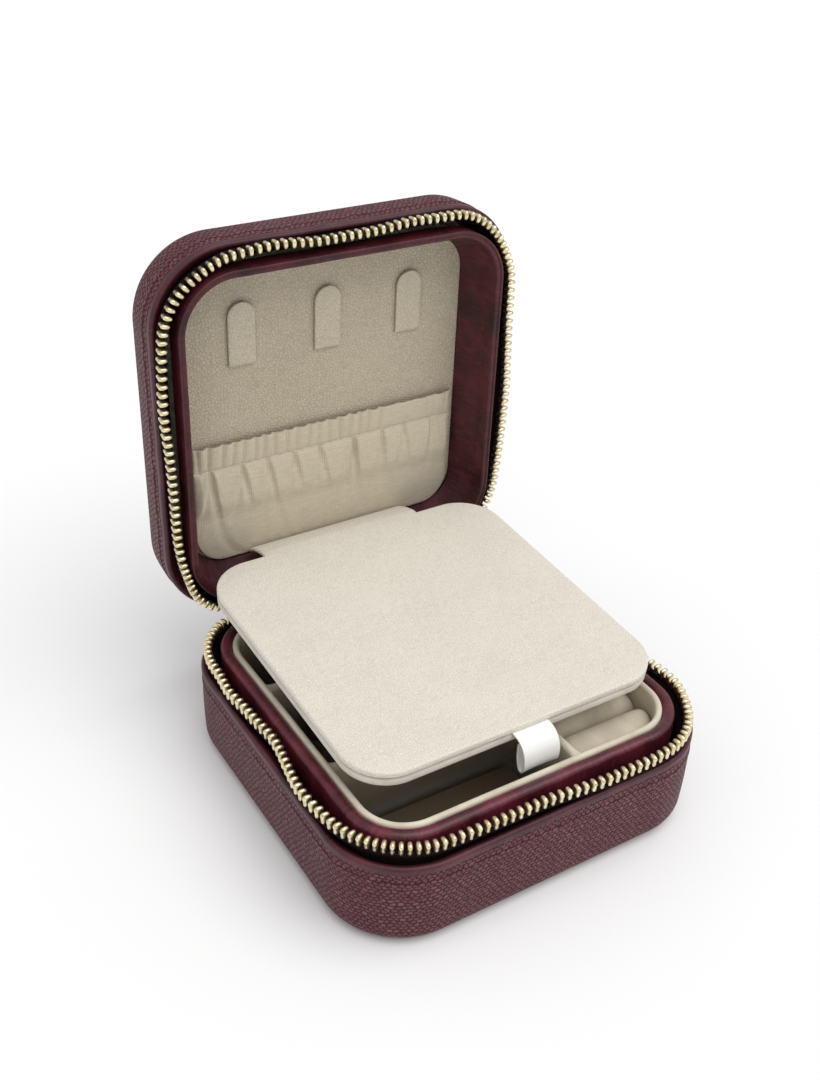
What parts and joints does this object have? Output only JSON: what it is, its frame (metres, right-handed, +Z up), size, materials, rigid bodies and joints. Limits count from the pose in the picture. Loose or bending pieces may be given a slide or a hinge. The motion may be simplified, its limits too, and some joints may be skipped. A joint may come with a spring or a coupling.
{
  "type": "leather jewellery case",
  "caption": "Square zip-round travel jewellery case in grained leather, with a hinged lid, lined tray with ring rolls, lifting inner flap, necklace tongues and gathered pocket.",
  "frame": {"origin": "middle of the base's underside", "axes": "+Z up from the table, front of the case towards -Y, hinge of the lid at +Y, X along the hinge"},
  "size_m": [0.1, 0.1173, 0.1267],
  "materials": {
    "burgundy_leather": "grained",
    "smooth_burgundy_leather": "smooth, semi-gloss",
    "grey_board": "raw grey board",
    "black_tape": "woven",
    "gold_metal": "polished pale gold",
    "cream_leather": "fine grain, matt",
    "cream_velvet": "velvet",
    "pocket_cloth": "soft brushed weave",
    "white_satin": "satin"
  },
  "bodies": {
    "base": {"base_leather_cover": "burgundy_leather", "base_bottom_board": "grey_board", "base_wall_board": "grey_board", "base_rim_binding": "smooth_burgundy_leather", "base_zip_tape": "black_tape", "base_zip_chain": "gold_metal", "base_collar": "smooth_burgundy_leather", "zip_slider": "gold_metal", "zip_bottom_stop": "gold_metal", "tray_shell": "cream_velvet", "tray_long_divider": "cream_velvet", "tray_cross_divider_1": "cream_velvet", "tray_cross_divider_2": "cream_velvet", "ring_roll_1": "cream_velvet", "ring_roll_2": "cream_velvet", "ring_roll_3": "cream_velvet", "ring_roll_4": "cream_velvet", "ring_roll_5": "cream_velvet", "ring_roll_6": "cream_velvet", "ring_roll_7": "cream_velvet", "rear_spine": "smooth_burgundy_leather"},
    "lid": {"lid_leather_cover": "burgundy_leather", "lid_top_board": "grey_board", "lid_wall_board": "grey_board", "lid_rim_binding": "smooth_burgundy_leather", "lid_zip_tape": "black_tape", "lid_zip_chain": "gold_metal", "lid_collar": "smooth_burgundy_leather", "lid_back_panel": "cream_leather", "lid_pocket": "pocket_cloth", "pocket_elastic_hem": "pocket_cloth"},
    "hinge_tab": {"flap_hinge_tab": "cream_leather"},
    "flap": {"flap_top_board": "cream_leather", "flap_lower_board": "cream_velvet", "ribbon_pull": "white_satin"},
    "tongue_1": {"necklace_tongue_1": "cream_leather"},
    "tongue_2": {"necklace_tongue_2": "cream_leather"},
    "tongue_3": {"necklace_tongue_3": "cream_leather"},
    "zip_pull": {"zip_pull": "gold_metal"}
  },
  "joints": [
    {"name": "lid_hinge", "type": "hinge", "parent": "base", "child": "lid", "pos_m": [0, 0.0475, 0.0292], "axis": [1, 0, 0], "range_deg": [0, 90], "deforming": ["rear_spine", "ribbon_pull"]},
    {"name": "flap_lift", "type": "hinge", "parent": "lid", "child": "hinge_tab", "pos_m": [0, 0.0586, 0.039], "axis": [1, 0, 0], "range_deg": [-70, 0]},
    {"name": "flap_fold", "type": "hinge", "parent": "hinge_tab", "child": "flap", "pos_m": [0, 0.04724, 0.03777], "axis": [1, 0, 0], "range_deg": [-93.5, 0.5]},
    {"name": "tongue_1_flex", "type": "hinge", "parent": "lid", "child": "tongue_1", "pos_m": [-0.0238, 0.0607, 0.0921], "axis": [1, 0, 0], "range_deg": [0, 25], "stiffness_Nm_per_rad": 0.002},
    {"name": "tongue_2_flex", "type": "hinge", "parent": "lid", "child": "tongue_2", "pos_m": [0, 0.0607, 0.0921], "axis": [1, 0, 0], "range_deg": [0, 25], "stiffness_Nm_per_rad": 0.002},
    {"name": "tongue_3_flex", "type": "hinge", "parent": "lid", "child": "tongue_3", "pos_m": [0.0238, 0.0607, 0.0921], "axis": [1, 0, 0], "range_deg": [0, 25], "stiffness_Nm_per_rad": 0.002},
    {"name": "pull_swing", "type": "hinge", "parent": "base", "child": "zip_pull", "pos_m": [0.0253, 0.05075, 0.027], "axis": [1, 0, 0], "range_deg": [0, 40]}
  ],
  "couplings": [
    {"joint": "flap_fold", "follows": "lid_hinge", "ratio": -1.0333}
  ]
}
